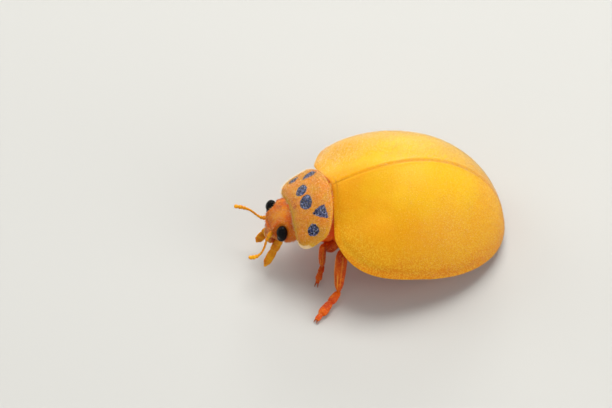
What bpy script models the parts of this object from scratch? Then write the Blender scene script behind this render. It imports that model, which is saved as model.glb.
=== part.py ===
"""A leaf-eating ladybird at life size, standing still on its six feet.

Metres, +Z up, head towards -Y, the beetle's left side towards +X. The origin is on the
floor, under the middle of the animal's bounding box. The wing cases and the hind body are
drawn in the body frame, which is nose-up. Everything else is placed where it stands,
measured from the front edge of the wing cases on the midline, down on the floor.
"""
import math

import bmesh
import bpy
from mathutils import Matrix, Vector
from mathutils.geometry import interpolate_bezier

MM = 0.001

# How the body stands
NOSE_UP = math.radians(15.5)
BASE_BACK = -1.403 * MM             # front edge of the wing cases, along Y
BASE_HEIGHT = 1.85 * MM             # the wing cases' margin above the floor, at that edge
SEAM = 0.03 * MM                    # play between neighbouring pieces

# Wing cases, in the body frame
CASE_HALF_WIDTH = 2.92 * MM
CASE_TAPER = 0.025                  # narrowing towards the rear, for each millimetre
CASE_TOP_BACK = 2.72 * MM
CASE_FRONT_REACH = 2.85 * MM
CASE_REAR_REACH = 3.30 * MM
CASE_HEIGHT = 2.42 * MM
CASE_FRONT_SQUARENESS = 3.15
CASE_REAR_SQUARENESS = 2.19
CASE_FALL = (1.69, 2.15, 1.99)      # how the dome falls to the front, the rear and the sides
CASE_FULLNESS = (1.04, 1.30, 1.49)
CASE_FRONT_LIFT = 1.15 * MM         # arch of the front edge over the shield's base
CASE_LIFT_HALF_WIDTH = 1.30 * MM
CASE_LIFT_SQUARENESS = 1.8
CASE_THICKNESS = 0.50 * MM

# Hind body, which fills the wing cases
BELLY_DEPTH = 0.62 * MM
BELLY_ROUNDNESS = 2.6
BELLY_FRONT_STEEPNESS = 8
WAIST_BACK = 2.3 * MM               # where the thorax ends and the abdomen starts

# Scutellum, the small plate between the wing cases, in the body frame
SCUTELLUM_CENTRE = Vector((0, 0.02, 1.00)) * MM
SCUTELLUM_HALF_WIDTH = 0.28 * MM
SCUTELLUM_REACH = 0.34 * MM
SCUTELLUM_SLOPE = math.radians(31)

# Pronotum, the spotted shield behind the head: drawn down its slope from its rear edge
SHIELD_REAR = Vector((0.177, 0.133, 3.136)) * MM
SHIELD_SLOPE = math.radians(38)
SHIELD_TURN = math.radians(2.3)
SHIELD_HALF_WIDTH = 1.424 * MM
SHIELD_WIDEST = 0.94 * MM
SHIELD_FRONT_REACH = 0.86 * MM
SHIELD_FRONT_SQUARENESS = 4.8
SHIELD_REAR_SQUARENESS = 1.75
SHIELD_HOLLOW = 0.215 * MM
SHIELD_HOLLOW_WIDTH = 0.8 * MM
SHIELD_LOBE = 0.11 * MM             # how far its front corners reach past the head
SHIELD_LOBE_AT = 1.20 * MM
SHIELD_LOBE_WIDTH = 0.26 * MM
SHIELD_FLARE = 0.10 * MM            # how far the rim of the front corners is turned up
SHIELD_FLARE_WIDTH = 0.32 * MM
SHIELD_FLARE_SPREAD = 0.6           # share of the flare that goes to the side
SHIELD_REAR_ARCH = 140.0            # drop to the sides over width squared, in 1/m
SHIELD_FRONT_ARCH = 180.0
SHIELD_CROWN = 0.34 * MM
SHIELD_THICKNESS = 0.36 * MM

# Head and what it carries
HEAD_CENTRE = Vector((0.07, -1.269, 1.655)) * MM
HEAD_RADII = Vector((0.76, 0.56, 0.735)) * MM
HEAD_NOD = math.radians(-49)        # the forehead leans back under the shield
HEAD_TURN = math.radians(5.4)       # and the face a little to the beetle's left
EYE_OFFSET = (0.58, -0.32, 0.13)    # offsets run from the middle of the head, in millimetres
EYE_RADII = Vector((0.215, 0.18, 0.30)) * MM
LABRUM_OFFSET = (0, -0.50, -0.52)
LABRUM_RADII = Vector((0.36, 0.22, 0.25)) * MM
JAW_OFFSET = (0, -0.31, -0.68)
JAW_RADII = Vector((0.30, 0.26, 0.22)) * MM
CHEST_CENTRE = Vector((0.12, -0.36, 1.88)) * MM
CHEST_RADII = Vector((1.05, 0.82, 0.86)) * MM

FEELER_WIDTH = 0.44 * MM
PALP_WIDTH = 0.42 * MM
THIGH_WIDTH = 0.56 * MM
LEG_WIDTH = 0.46 * MM
SOCKET_DEPTH = 0.35                 # how far a limb runs into its neighbour, over its width
FOOT_ROOT_DEPTH = 0.1
LIMB_BLUNTNESS = 4
LIMB_STEPS = 24

# Fineness: points round a piece, and rings from pole to pole
CASE_MESH = (36, 22)
HIND_BODY_MESH = (26, 16)
SHIELD_MESH = (26, 10)
HEAD_MESH = (20, 14)
CHEST_MESH = (16, 10)
EYE_MESH = (14, 10)
MOUTH_MESH = (12, 8)
LIMB_MESH = (10, 8)
FEELER_MESH = (10, 14)

# Paths in millimetres: a feeler is a curve from its root past two pulls to its tip, and a
# leg runs from hip to knee, ankle and toe. Feelers and palps start from the head's middle.
FEELERS = {
    "left": [(0.33, -0.57, 0.04), (0.55, -0.93, -0.47), (0.73, -0.98, -0.7), (0.76, -1.52, -0.43)],
    "right": [(-0.39, -0.5, -0.07), (-0.54, -0.86, -0.24), (-0.78, -1.04, 0.23), (-0.97, -1.48, 0.15)],
}
PALPS = {
    "left": [(0.3, -0.27, -0.57), (0.46, -0.8, -1.22)],
    "right": [(-0.32, -0.43, -0.57), (-0.31, -0.89, -1.04)],
}
FRONT_LEG = [(0.62, 0.26, 1.14), (1.12, -0.30, 1.40), (1.09, -0.31, 0.40), (1.53, -0.58, 0.12)]
MIDDLE_LEG = [(0.55, 1.20, 1.25), (1.50, 0.25, 1.45), (2.18, -0.02, 0.30), (3.02, -0.92, 0.12)]
MIDDLE_LEG_BACK = [(0.55, 1.20, 1.25), (1.55, 0.60, 1.35), (2.25, 0.72, 0.30), (3.038, 1.00, 0.12)]
HIND_LEG = [(0.75, 2.75, 0.62), (1.75, 2.25, 0.62), (1.75, 3.20, 0.28), (1.85, 4.00, 0.12)]

# Colour and roughness
FINISHES = {
    "wing_case": ((0.93, 0.55, 0.06), 0.42),
    "shield": ((0.80, 0.33, 0.08), 0.45),
    "skin": ((0.62, 0.20, 0.04), 0.5),
    "leg": ((0.50, 0.09, 0.01), 0.5),
    "feeler": ((0.72, 0.28, 0.05), 0.5),
    "eye": ((0.01, 0.01, 0.012), 0.15),
}

body = Matrix.Translation((0, BASE_BACK, BASE_HEIGHT)) @ Matrix.Rotation(-NOSE_UP, 4, "X")
stand = Matrix.Translation((0, BASE_BACK, 0))


def clear_scene():
    for obj in list(bpy.data.objects):
        bpy.data.objects.remove(obj)


def finish(name):
    material = bpy.data.materials.get(name)
    if material is None:
        colour, roughness = FINISHES[name]
        material = bpy.data.materials.new(name)
        material.use_nodes = True
        shader = material.node_tree.nodes["Principled BSDF"]
        shader.inputs["Base Color"].default_value = (*colour, 1)
        shader.inputs["Roughness"].default_value = roughness
        shader.inputs["Metallic"].default_value = 0
    return material


def add_object(name, bm, material, place):
    bmesh.ops.recalc_face_normals(bm, faces=bm.faces)
    if bm.calc_volume(signed=True) < 0:
        bmesh.ops.reverse_faces(bm, faces=bm.faces)
    mesh = bpy.data.meshes.new(name)
    bm.to_mesh(mesh)
    bm.free()
    mesh.materials.append(finish(material))
    mesh.shade_smooth()
    obj = bpy.data.objects.new(name, mesh)
    obj.matrix_world = place
    bpy.context.collection.objects.link(obj)
    return obj


def ball(segments, rings, form):
    """A ball whose points are moved to form(around, out, up)."""
    bm = bmesh.new()
    bmesh.ops.create_uvsphere(bm, u_segments=segments, v_segments=rings, radius=1.0)
    for vert in bm.verts:
        around = math.atan2(vert.co.y, vert.co.x)
        vert.co = form(around, min(1.0, vert.co.xy.length), vert.co.z)
    return bm


def part_off(bm, point, direction):
    """Keep what lies beyond a plane, and close the cut."""
    cut = bmesh.ops.bisect_plane(bm, geom=bm.verts[:] + bm.edges[:] + bm.faces[:], dist=1e-9,
                                 plane_co=point, plane_no=direction, clear_inner=True)
    rim = [item for item in cut["geom_cut"] if isinstance(item, bmesh.types.BMEdge)]
    bmesh.ops.contextual_create(bm, geom=rim)
    return bm


def keep_clear(piece, *neighbours):
    """Cut away what a neighbour, swollen by the seam, would overlap."""
    for neighbour in neighbours:
        guide = bpy.data.objects.new(f"guide_{neighbour.name}_{piece.name}", neighbour.data)
        guide.matrix_world = neighbour.matrix_world
        guide.hide_render = True
        guide.display_type = "WIRE"
        bpy.context.collection.objects.link(guide)
        swell = guide.modifiers.new("swell", "DISPLACE")
        swell.strength = SEAM
        swell.mid_level = 0
        cut = piece.modifiers.new(f"clear_{neighbour.name}", "BOOLEAN")
        cut.operation = "DIFFERENCE"
        cut.object = guide


def paths(points, side):
    """Points in metres, on the left side or mirrored to the right."""
    return [Vector((side * x, y, z)) * MM for x, y, z in points]


def on_head(offset, side=1):
    """A place given from the middle of the turned head."""
    x, y, z = offset
    return HEAD_CENTRE + Matrix.Rotation(HEAD_TURN, 3, "Z") @ Vector((side * x, y, z)) * MM


def superellipse(around, squareness):
    """How far a squared circle of radius 1 reaches in a direction."""
    side = abs(math.cos(around)) ** squareness + abs(math.sin(around)) ** squareness
    return side ** (-1 / squareness)


def case_point(around, out, inset=0.0):
    """The wing cases' dome: out runs from 0 on the top to 1 at the margin."""
    c, s = math.cos(around), math.sin(around)
    front, rear = max(-s, 0) ** 2, max(s, 0) ** 2
    weights = (front, rear, 1 - front - rear)
    squareness = CASE_FRONT_SQUARENESS if s < 0 else CASE_REAR_SQUARENESS
    x = (CASE_HALF_WIDTH - inset) * c
    y = ((CASE_FRONT_REACH if s < 0 else CASE_REAR_REACH) - inset) * s
    margin = superellipse(around, squareness)
    edge = 0
    if s < 0:
        side = x * margin * (1 - CASE_TAPER * y * margin / MM)
        lift = abs(side / (CASE_LIFT_HALF_WIDTH - inset / 2)) ** CASE_LIFT_SQUARENESS
        edge = (CASE_FRONT_LIFT - inset / 2) * math.exp(-lift)
    fall = 2 + (sum(weight * value for weight, value in zip(weights, CASE_FALL)) - 2) * out
    fullness = sum(weight * value for weight, value in zip(weights, CASE_FULLNESS))
    rise = (1 - min(1.0, out) ** fall) ** (1 / fullness)
    spread = superellipse(around, 2 + (squareness - 2) * out ** 2) * out
    x *= spread * (1 - CASE_TAPER * y * spread / MM)
    return Vector((x, CASE_TOP_BACK + y * spread, edge + (CASE_HEIGHT - inset - edge) * rise))


def make_wing_cases():
    """A thin bowl, upside down, parted along the seam in its middle."""
    rim_out = math.cos(math.pi / CASE_MESH[1])

    def shell(around, out, up):
        if up > -1e-6:
            return case_point(around, out)
        return case_point(around, min(1.0, out / rim_out), CASE_THICKNESS)

    cases = []
    for name, side in (("elytron_left", 1), ("elytron_right", -1)):
        bm = part_off(ball(*CASE_MESH, shell), (side * SEAM / 2, 0, 0), (side, 0, 0))
        cases.append(add_object(name, bm, "wing_case", body))
    return cases


def make_scutellum():
    bm = bmesh.new()
    bmesh.ops.create_cone(bm, cap_ends=True, segments=3, radius1=1, radius2=1, depth=1)
    size = (SCUTELLUM_HALF_WIDTH / math.sin(math.pi / 3), SCUTELLUM_REACH, CASE_THICKNESS)
    bmesh.ops.scale(bm, vec=size, verts=bm.verts)
    place = body @ Matrix.Translation(SCUTELLUM_CENTRE) @ Matrix.Rotation(SCUTELLUM_SLOPE, 4, "X")
    return add_object("scutellum", bm, "shield", place)


def make_hind_body():
    """Thorax and abdomen: they fill the wing cases and round off below them."""
    inset = CASE_THICKNESS + SEAM
    middle = Vector((0, CASE_TOP_BACK, 0))

    def fill(around, out, up):
        if up >= 0:
            return case_point(around, out, inset)
        margin = case_point(around, 1.0, inset)
        point = middle.lerp(margin, out)
        belly = BELLY_DEPTH * (1 - out ** BELLY_ROUNDNESS)
        point.z = margin.z * out ** BELLY_FRONT_STEEPNESS - belly
        return point

    pieces = []
    for name, side in (("thorax", -1), ("abdomen", 1)):
        waist = (0, WAIST_BACK + side * SEAM / 2, 0)
        bm = part_off(ball(*HIND_BODY_MESH, fill), waist, (0, side, 0))
        pieces.append(add_object(name, bm, "skin", body))
    return pieces


def shield_point(around, out, up):
    """The shield: an arched lens, nearly straight in front and round behind."""
    c, s = math.cos(around), math.sin(around)
    squared = superellipse(around, SHIELD_FRONT_SQUARENESS if s < 0 else SHIELD_REAR_SQUARENESS)
    x = SHIELD_HALF_WIDTH * squared * c * out
    reach = SHIELD_FRONT_REACH if s < 0 else SHIELD_WIDEST
    forward = SHIELD_WIDEST - reach * squared * s * out
    front = max(-s, 0) * out
    forward -= SHIELD_HOLLOW * front * math.exp(-(x / SHIELD_HOLLOW_WIDTH) ** 2)
    forward += SHIELD_LOBE * front * math.exp(-((abs(x) - SHIELD_LOBE_AT) / SHIELD_LOBE_WIDTH) ** 2)
    share = forward / (SHIELD_WIDEST + SHIELD_FRONT_REACH)
    arch = SHIELD_REAR_ARCH + (SHIELD_FRONT_ARCH - SHIELD_REAR_ARCH) * share
    lens = SHIELD_CROWN if up > 0 else SHIELD_THICKNESS
    flare = SHIELD_FLARE * front * math.exp(-((SHIELD_HALF_WIDTH - abs(x)) / SHIELD_FLARE_WIDTH) ** 2)
    side = x + math.copysign(flare * SHIELD_FLARE_SPREAD, x)
    return Vector((side, -forward, lens * up - arch * x ** 2 + flare))


def make_shield():
    turn = Matrix.Rotation(SHIELD_TURN, 4, "Z") @ Matrix.Rotation(SHIELD_SLOPE, 4, "X")
    place = stand @ Matrix.Translation(SHIELD_REAR) @ turn
    return add_object("pronotum", ball(*SHIELD_MESH, shield_point), "shield", place)


def make_ellipsoid(name, centre, radii, material, fineness, turn=0.0, nod=0.0):
    bm = bmesh.new()
    bmesh.ops.create_uvsphere(bm, u_segments=fineness[0], v_segments=fineness[1], radius=1.0)
    bmesh.ops.scale(bm, vec=radii, verts=bm.verts)
    turned = Matrix.Rotation(turn, 4, "Z") @ Matrix.Rotation(nod, 4, "X")
    return add_object(name, bm, material, stand @ Matrix.Translation(centre) @ turned)


def make_limb(name, points, width, material, fineness=LIMB_MESH, root_depth=SOCKET_DEPTH):
    """A blunt rod along a straight or bent path, which runs into its neighbours."""
    first, last = points[0], points[-1]
    first = first - (points[1] - first).normalized() * width * root_depth
    last = last + (last - points[-2]).normalized() * width * SOCKET_DEPTH
    pulls = points[1:-1] or [first.lerp(last, 1 / 3), first.lerp(last, 2 / 3)]
    path = interpolate_bezier(first, *pulls, last, LIMB_STEPS + 1)
    level = (last - first).orthogonal()

    def form(around, out, up):
        step = min((up + 1) / 2 * LIMB_STEPS, LIMB_STEPS - 1e-6)
        here, ahead = path[int(step)], path[int(step) + 1]
        side = (ahead - here).cross(level).normalized()
        other = (ahead - here).cross(side).normalized()
        radius = width / 2 * (1 - min(1.0, abs(up)) ** LIMB_BLUNTNESS) ** (1 / LIMB_BLUNTNESS)
        point = here.lerp(ahead, step - int(step))
        return point + (side * math.cos(around) + other * math.sin(around)) * radius

    bm = ball(*fineness, form)
    for vert in bm.verts:                       # soles lie flat on the floor
        vert.co.z = max(vert.co.z, 0)
    return add_object(name, bm, material, stand)


def make_leg(name, joints, side):
    hip, knee, ankle, toe = paths(joints, side)
    femur = make_limb(f"femur_{name}", [hip, knee], THIGH_WIDTH, "leg")
    tibia = make_limb(f"tibia_{name}", [knee, ankle], LEG_WIDTH, "leg")
    tarsus = make_limb(f"tarsus_{name}", [ankle, toe], LEG_WIDTH, "leg", root_depth=FOOT_ROOT_DEPTH)
    keep_clear(tibia, femur)
    keep_clear(tarsus, tibia)
    return femur, tibia, tarsus


def make_head(shield, chest):
    head = make_ellipsoid("head", HEAD_CENTRE, HEAD_RADII, "shield", HEAD_MESH, HEAD_TURN, HEAD_NOD)
    labrum_centre, jaw_centre = on_head(LABRUM_OFFSET), on_head(JAW_OFFSET)
    labrum = make_ellipsoid("labrum", labrum_centre, LABRUM_RADII, "feeler", MOUTH_MESH, HEAD_TURN)
    jaws = make_ellipsoid("mandibles", jaw_centre, JAW_RADII, "leg", MOUTH_MESH, HEAD_TURN)
    keep_clear(head, shield, chest)
    keep_clear(labrum, head)
    keep_clear(jaws, head, labrum)
    for name, side in (("left", 1), ("right", -1)):
        centre = on_head(EYE_OFFSET, side)
        eye = make_ellipsoid(f"eye_{name}", centre, EYE_RADII, "eye", EYE_MESH, HEAD_TURN)
        palp_path = [on_head(offset) for offset in PALPS[name]]
        palp = make_limb(f"palp_{name}", palp_path, PALP_WIDTH, "feeler")
        feeler_path = [on_head(offset) for offset in FEELERS[name]]
        antenna = make_limb(f"antenna_{name}", feeler_path, FEELER_WIDTH, "feeler", FEELER_MESH)
        keep_clear(head, eye)
        keep_clear(antenna, head, labrum)
        keep_clear(palp, head, labrum, jaws, antenna)


def build():
    clear_scene()
    cases = make_wing_cases()
    scutellum = make_scutellum()
    thorax, abdomen = make_hind_body()
    shield = make_shield()
    chest = make_ellipsoid("prothorax", CHEST_CENTRE, CHEST_RADII, "skin", CHEST_MESH)
    for case in cases:
        keep_clear(case, scutellum)
    keep_clear(scutellum, thorax)
    keep_clear(shield, *cases, scutellum)
    keep_clear(chest, shield, thorax, scutellum, *cases)
    make_head(shield, chest)
    for side_name, side in (("left", 1), ("right", -1)):
        middle = MIDDLE_LEG if side > 0 else MIDDLE_LEG_BACK
        for leg_name, joints in (("front", FRONT_LEG), ("middle", middle), ("hind", HIND_LEG)):
            femur, tibia, tarsus = make_leg(f"{leg_name}_{side_name}", joints, side)
            keep_clear(femur, thorax, abdomen, chest)


build()
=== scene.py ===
import math

import bmesh
import bpy
import numpy as np
from mathutils import Matrix, Vector
from mathutils.geometry import interpolate_bezier


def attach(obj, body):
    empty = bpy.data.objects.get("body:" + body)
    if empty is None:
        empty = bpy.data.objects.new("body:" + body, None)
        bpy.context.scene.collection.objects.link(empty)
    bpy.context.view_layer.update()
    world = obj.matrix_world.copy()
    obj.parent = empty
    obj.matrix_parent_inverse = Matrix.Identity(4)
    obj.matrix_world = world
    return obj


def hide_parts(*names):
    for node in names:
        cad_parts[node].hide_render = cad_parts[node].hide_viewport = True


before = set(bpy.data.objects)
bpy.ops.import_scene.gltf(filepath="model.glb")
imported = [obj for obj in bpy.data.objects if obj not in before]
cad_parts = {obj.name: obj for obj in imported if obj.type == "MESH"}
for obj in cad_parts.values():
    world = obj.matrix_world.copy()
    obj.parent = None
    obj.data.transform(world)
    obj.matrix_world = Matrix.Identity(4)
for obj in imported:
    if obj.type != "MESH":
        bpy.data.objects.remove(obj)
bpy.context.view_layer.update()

mm = 0.001                       # pieces are modelled in millimetres, and made metres when finished
stance = {"noseUp": math.radians(15.5), "back": -1.403, "height": 1.85}
standPlace = Matrix.Translation((0, stance["back"], 0))
bodyPlace = (standPlace @ Matrix.Translation((0, 0, stance["height"]))
             @ Matrix.Rotation(-stance["noseUp"], 4, "X"))


def ball(segments, rings, form):
    # a ball whose points go to form(around, out, up); each point keeps its place on the ball
    plain = bmesh.new()
    bmesh.ops.create_uvsphere(plain, u_segments=segments, v_segments=rings, radius=1)
    plain.verts.index_update()
    corners = []
    for face in plain.faces:
        ring = [vert.index for vert in face.verts]
        first = ring.index(min(ring))
        corners.append(ring[first:] + ring[:first])
    bm = bmesh.new()
    shape = bm.verts.layers.float_vector.new("shape")
    bm.verts.layers.float.new("tone")
    verts = [bm.verts.new(vert.co) for vert in plain.verts]
    for ring in sorted(corners):         # the sphere's own order changes from run to run
        bm.faces.new([verts[index] for index in ring])
    plain.free()
    for vert in bm.verts:
        vert[shape] = vert.co
        around = math.atan2(vert.co.y, vert.co.x)
        vert.co = form(around, min(1.0, vert.co.xy.length), vert.co.z)
    outward(bm)
    return bm


def outward(bm):
    bmesh.ops.recalc_face_normals(bm, faces=bm.faces)
    if bm.calc_volume(signed=True) < 0:
        bmesh.ops.reverse_faces(bm, faces=bm.faces)


def swell(x, centre, width):
    return math.exp(-((x - centre) / width) ** 2)


def stepUp(x, low, high):
    share = min(1.0, max(0.0, (x - low) / (high - low)))
    return share * share * (3 - 2 * share)


def alongTable(table, x):
    # smooth values between the rows of a short table, whose first column is x
    for before, after in zip(table, table[1:]):
        if x <= after[0]:
            share = stepUp(x, before[0], after[0])
            return [a + (b - a) * share for a, b in zip(before[1:], after[1:])]
    return list(table[-1][1:])


def superellipse(around, squareness):
    side = abs(math.cos(around)) ** squareness + abs(math.sin(around)) ** squareness
    return side ** (-1 / squareness)


def spline(points, steps):
    # a smooth line through its points, evenly parted
    points = [Vector(point) for point in points]
    ends = [points[0] * 2 - points[1]] + points + [points[-1] * 2 - points[-2]]
    fine = []
    for before, here, ahead, after in zip(ends, ends[1:], ends[2:], ends[3:]):
        pulls = (here + (ahead - before) / 6, ahead - (after - here) / 6)
        fine += interpolate_bezier(here, *pulls, ahead, steps + 1)[:-1]
    return fine + [points[-1]]


def limb(path, widths, flat, segments, rings, level=None, sharp=2.6, steps=8):
    # a closed stalk along a path; widths holds its width at even steps from root to tip
    line = spline(path, steps)
    level = (line[-1] - line[0]).orthogonal() if level is None else Vector(level)
    last = len(line) - 1

    def form(around, out, up):
        share = (up + 1) / 2
        step = min(share * last, last - 1e-6)
        here, ahead = line[int(step)], line[int(step) + 1]
        side = (ahead - here).cross(level).normalized()
        other = (ahead - here).cross(side).normalized()
        station = share * (len(widths) - 1)
        index = min(int(station), len(widths) - 2)
        width = widths[index] + (widths[index + 1] - widths[index]) * stepUp(station, index, index + 1)
        blunt = (1 - min(1.0, abs(up)) ** (sharp * 3)) ** (1 / sharp)
        reach = width / 2 * blunt
        point = here.lerp(ahead, step - int(step))
        return point + (side * math.cos(around) + other * math.sin(around) * flat) * reach

    return ball(segments, rings, form)


def joined(*parts):
    whole = parts[0]
    for part in parts[1:]:
        mesh = bpy.data.meshes.new("part")
        part.to_mesh(mesh)
        part.free()
        whole.from_mesh(mesh)
        bpy.data.meshes.remove(mesh)
    return whole


def setTone(bm, rule):
    shape, tone = bm.verts.layers.float_vector["shape"], bm.verts.layers.float["tone"]
    for vert in bm.verts:
        vert[tone] = rule(vert.co, vert[shape])


finish = {"sharpAngle": math.radians(50), "discReach": 0.48}


def finishPiece(name, bm, material, replaced, place=standPlace, domed=False):
    shape = bm.verts.layers.float_vector["shape"]
    unwrap = bm.loops.layers.uv.new("unwrap")
    for face in bm.faces:
        spots = []
        for loop in face.loops:
            x, y, z = loop.vert[shape]
            if domed:                    # a disc, seen down the middle of the shell
                spots.append((0.5 + finish["discReach"] * x, 0.5 + finish["discReach"] * y))
            else:                        # round the piece and along it
                spots.append((math.atan2(y, x) / math.tau + 0.5, (z + 1) / 2))
        wide = not domed and max(u for u, v in spots) - min(u for u, v in spots) > 0.5
        for loop, (u, v) in zip(face.loops, spots):
            loop[unwrap].uv = (u + 1 if wide and u < 0.5 else u, v)
    bm.transform(Matrix.Scale(mm, 4) @ place)
    mesh = bpy.data.meshes.new(name)
    bm.to_mesh(mesh)
    bm.free()
    mesh.materials.append(material)
    mesh.shade_smooth()
    mesh.set_sharp_from_angle(angle=finish["sharpAngle"])
    piece = bpy.data.objects.new(name, mesh)
    bpy.context.collection.objects.link(piece)
    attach(piece, "root")
    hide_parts(*replaced)
    return piece


def newMaterial(name, roughness):
    material = bpy.data.materials.new(name)
    material.use_nodes = True
    inputs = material.node_tree.nodes["Principled BSDF"].inputs
    inputs["Roughness"].default_value = roughness
    return material, material.node_tree, inputs


def addNode(tree, kind, inputs, **settings):
    made = tree.nodes.new(kind)
    for setting, value in settings.items():
        setattr(made, setting, value)
    for socket, value in inputs.items():
        if isinstance(value, bpy.types.NodeSocket):
            tree.links.new(value, made.inputs[socket])
        else:
            made.inputs[socket].default_value = value
    return made.outputs


def mixColour(tree, factor, first, second):
    inputs = {0: factor}
    for socket, colour in ((6, first), (7, second)):
        inputs[socket] = colour if isinstance(colour, bpy.types.NodeSocket) else (*colour, 1)
    return addNode(tree, "ShaderNodeMix", inputs, data_type="RGBA")[2]


def grain(tree, size, detail=2.0):
    # noise whose blots are about size millimetres across
    place = addNode(tree, "ShaderNodeTexCoord", {})["Object"]
    return addNode(tree, "ShaderNodeTexNoise",
                   {"Vector": place, "Scale": 1 / (size * mm), "Detail": detail})[0]


def pits(tree, size):
    # small round cells about size millimetres across
    place = addNode(tree, "ShaderNodeTexCoord", {})["Object"]
    return addNode(tree, "ShaderNodeTexVoronoi", {"Vector": place, "Scale": 1 / (size * mm)})[0]


def remap(tree, value, low, high, newLow=0.0, newHigh=1.0):
    return addNode(tree, "ShaderNodeMapRange",
                   {"Value": value, "From Min": low, "From Max": high, "To Min": newLow, "To Max": newHigh},
                   interpolation_type="SMOOTHSTEP")[0]


def calculate(tree, operation, first, second):
    return addNode(tree, "ShaderNodeMath", {0: first, 1: second}, operation=operation)[0]


def readValue(tree, name):
    return addNode(tree, "ShaderNodeAttribute", {}, attribute_name=name)["Fac"]


def makeMaterial(name, look, colourRule):
    # roughness: value, lowest, highest, grain; wax: strength, colour, depth; relief: kind, size, depth
    roughness, low, high, size = look["roughness"]
    material, tree, inputs = newMaterial(name, roughness)
    wax, waxColour, waxDepth = look["wax"]
    inputs["Subsurface Weight"].default_value = wax
    inputs["Subsurface Radius"].default_value = waxColour
    inputs["Subsurface Scale"].default_value = waxDepth * mm
    inputs["Specular IOR Level"].default_value = look["shine"]
    tree.links.new(colourRule(tree), inputs["Base Color"])
    tree.links.new(remap(tree, grain(tree, size), 0.3, 0.7, low, high), inputs["Roughness"])
    normal = None
    for kind, size, depth in look["relief"]:
        bump = {"Height": kind(tree, size), "Distance": depth * mm, "Strength": 1.0}
        if normal:
            bump["Normal"] = normal
        normal = addNode(tree, "ShaderNodeBump", bump)[0]
    if normal:
        tree.links.new(normal, inputs["Normal"])
    return material


caseLook = {
    "top": (0.83, 0.465, 0.004), "flank": (0.80, 0.345, 0.002), "margin": (0.74, 0.235, 0.001),
    "pale": (0.93, 0.62, 0.05), "speck": 0.045, "speckShare": 0.5, "blots": 0.9, "wander": 0.08,
    "roughness": (0.42, 0.36, 0.5, 0.12), "shine": 0.16, "wax": (0.35, (1.0, 0.6, 0.1), 0.12),
    "relief": [(pits, 0.05, 0.004), (grain, 0.02, 0.003), (grain, 0.5, 0.010)],
}


def caseColour(tree):
    look = caseLook
    tone = readValue(tree, "tone")
    wander = remap(tree, grain(tree, look["blots"]), 0.3, 0.7, -look["wander"], look["wander"])
    tone = calculate(tree, "ADD", tone, wander)
    # the tone picks the top, flank and margin colours; it carries painted shade low on the flanks and at the
    # lip, and painted light on the right case
    colour = mixColour(tree, remap(tree, tone, 0.04, 0.45), look["top"], look["flank"])
    colour = mixColour(tree, remap(tree, tone, 0.62, 1.0), colour, look["margin"])
    # pale specks, partly the down's own colour and partly painted glints
    speckle = remap(tree, grain(tree, look["speck"]), 0.44, 0.66, 0.0, look["speckShare"])
    strength = remap(tree, readValue(tree, "speckle"), 0.0, 1.0, 0.4, 1.1)
    return mixColour(tree, calculate(tree, "MULTIPLY", speckle, strength), colour, look["pale"])


shieldLook = {
    "middle": (0.80, 0.28, 0.018), "pale": (0.75, 0.355, 0.026), "strip": (0.75, 0.41, 0.014),
    "rim": (0.95, 0.74, 0.42), "blush": (0.58, 0.10, 0.008), "speck": (0.88, 0.46, 0.05),
    "spot": (0.045, 0.066, 0.20), "spotGrain": (0.008, 0.010, 0.034), "spotShine": (0.24, 0.31, 0.60),
    "blushEverywhere": 0.3, "spotRagged": 0.012,
    "roughness": (0.4, 0.34, 0.5, 0.1), "shine": 0.16, "wax": (0.3, (1.0, 0.4, 0.1), 0.1),
    "relief": [(pits, 0.045, 0.008), (grain, 0.018, 0.004), (grain, 0.22, 0.02)],
}


def shieldColour(tree):
    look = shieldLook
    colour = mixColour(tree, remap(tree, grain(tree, 0.35, 4), 0.35, 0.7), look["middle"], look["pale"])
    stipple = remap(tree, grain(tree, 0.07, 3), 0.44, 0.60)
    reach = calculate(tree, "ADD", readValue(tree, "blush"), look["blushEverywhere"])
    colour = mixColour(tree, calculate(tree, "MULTIPLY", reach, stipple), colour, look["blush"])
    specks = remap(tree, grain(tree, 0.055, 2), 0.56, 0.68, 0.0, 0.7)
    colour = mixColour(tree, specks, colour, look["speck"])
    tone = readValue(tree, "tone")
    colour = mixColour(tree, remap(tree, tone, 0.0, 0.6), colour, look["strip"])
    colour = mixColour(tree, remap(tree, tone, 0.65, 1.0), colour, look["rim"])
    spot = mixColour(tree, remap(tree, grain(tree, 0.07), 0.42, 0.58), look["spotGrain"], look["spot"])
    spot = mixColour(tree, remap(tree, grain(tree, 0.055, 2), 0.53, 0.64, 0.0, 0.85), spot, look["spotShine"])
    edge = remap(tree, grain(tree, 0.08, 2), 0.3, 0.7, -look["spotRagged"], look["spotRagged"])
    inside = calculate(tree, "ADD", readValue(tree, "spot"), edge)
    return mixColour(tree, remap(tree, inside, -0.01, 0.014), colour, spot)


def plainColour(tree, dark, middle, pale, blots, specks):
    colour = mixColour(tree, remap(tree, grain(tree, blots, 4), 0.35, 0.65), dark, middle)
    colour = mixColour(tree, remap(tree, grain(tree, specks, 3), 0.5, 0.7, 0.0, 0.35), colour, pale)
    return mixColour(tree, readValue(tree, "tone"), colour, pale)


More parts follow.
